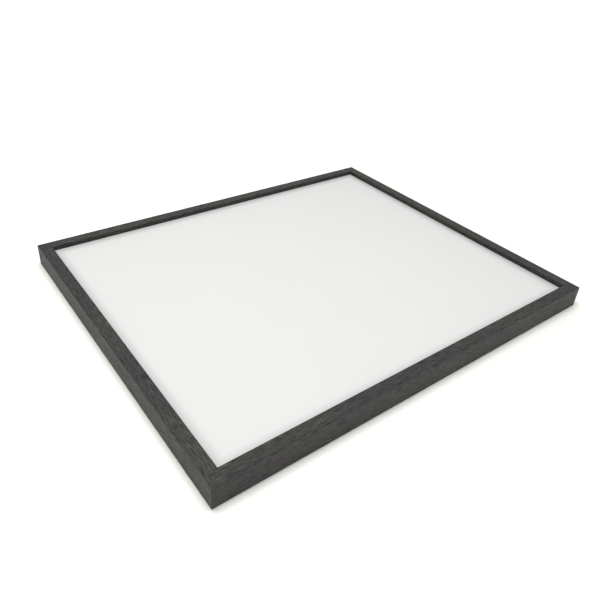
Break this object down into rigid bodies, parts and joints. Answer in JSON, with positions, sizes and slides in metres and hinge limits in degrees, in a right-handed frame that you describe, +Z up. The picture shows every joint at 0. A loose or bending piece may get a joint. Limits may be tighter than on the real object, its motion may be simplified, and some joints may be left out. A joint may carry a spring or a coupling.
{
  "type": "light box",
  "caption": "Flat light box for tracing and viewing: a dark wood picture-frame case round a recessed opal panel, with edge lighting, rocker switch, dimmer and power jack.",
  "frame": {"origin": "centre of the footprint, on the surface that the feet stand on", "axes": "+X along the long side towards the control rail, +Y towards the back long rail, +Z up out of the lit face"},
  "size_m": [0.6064, 0.5, 0.032],
  "materials": {
    "stained_wood": "charcoal stained, open grain",
    "plain_wood": "sawn pine",
    "hardboard": "smooth hardboard",
    "opal_acrylic": "opal white, slight gloss",
    "clear_acrylic": "clear cast acrylic with a dot pattern",
    "white_film": "white reflector film",
    "mill_aluminium": "extruded",
    "shaft_aluminium": "turned",
    "can_aluminium": "drawn can",
    "white_board": "white solder mask",
    "green_board": "green solder mask",
    "led_phosphor": "phosphor cap",
    "zinc_steel": "zinc plated",
    "black_steel": "black oxide",
    "foot_rubber": "matt",
    "black_anodised": "black anodised",
    "nickel_brass": "nickel plated brass",
    "black_nylon": "moulded",
    "black_gloss": "moulded, polished tool",
    "black_knob": "moulded, fluted",
    "white_paint": "filled line",
    "white_nylon": "moulded",
    "ferrite": "ferrite drum",
    "block_plastic": "moulded",
    "lead_black": "insulation",
    "lead_red": "insulation",
    "lead_white": "insulation"
  },
  "bodies": {
    "case": {"rail_front": "stained_wood", "rail_back": "stained_wood", "rail_left": "stained_wood", "rail_right": "stained_wood", "corner_v_nails": "zinc_steel", "diffuser_sheet": "opal_acrylic", "light_guide_plate": "clear_acrylic", "reflector_film": "white_film", "led_bar_front": "mill_aluminium", "led_bar_back": "mill_aluminium", "shelf_angle_left": "mill_aluminium", "shelf_angle_right": "mill_aluminium", "led_board_front": "white_board", "led_board_back": "white_board", "led_chips_front": "led_phosphor", "led_chips_back": "led_phosphor", "led_bar_screws": "zinc_steel", "shelf_angle_screws": "zinc_steel", "support_batten_left": "plain_wood", "support_batten_middle": "plain_wood", "support_batten_right": "plain_wood", "back_panel": "hardboard", "back_panel_screws": "black_steel", "foot_front_left": "foot_rubber", "foot_front_right": "foot_rubber", "foot_back_left": "foot_rubber", "foot_back_right": "foot_rubber", "control_plate": "black_anodised", "control_plate_screws": "black_steel", "dc_jack_shell": "nickel_brass", "dc_jack_insulator": "black_nylon", "dc_jack_pin": "nickel_brass", "dc_jack_nut": "nickel_brass", "dc_jack_tags": "nickel_brass", "switch_housing": "black_nylon", "switch_terminals": "nickel_brass", "dimmer_bushing": "nickel_brass", "dimmer_case": "black_nylon", "dimmer_nut": "nickel_brass", "dimmer_tags": "nickel_brass", "driver_board": "green_board", "driver_spacers": "white_nylon", "driver_screws": "zinc_steel", "driver_inductor": "ferrite", "driver_capacitors": "can_aluminium", "driver_chip": "black_nylon", "driver_input_block": "block_plastic", "driver_output_blocks": "block_plastic", "lead_jack_to_driver": "lead_black", "lead_jack_to_switch": "lead_red", "lead_switch_to_driver": "lead_red", "leads_dimmer_to_driver": "lead_white", "leads_driver_to_led_front": "lead_white", "leads_driver_to_led_back": "lead_white", "lead_clips": "white_nylon"},
    "rocker": {"switch_rocker": "black_gloss"},
    "dimmer": {"dimmer_shaft": "shaft_aluminium", "dimmer_knob": "black_knob", "dimmer_pointer": "white_paint"}
  },
  "joints": [
    {"name": "rocker_tilt", "type": "hinge", "parent": "case", "child": "rocker", "pos_m": [0.3, 0.16, 0.01075], "axis": [0, 0, 1], "range_deg": [0, 20]},
    {"name": "dimmer_turn", "type": "hinge", "parent": "case", "child": "dimmer", "pos_m": [0.3, 0.179, 0.01075], "axis": [1, 0, 0], "range_deg": [-150, 150]}
  ]
}
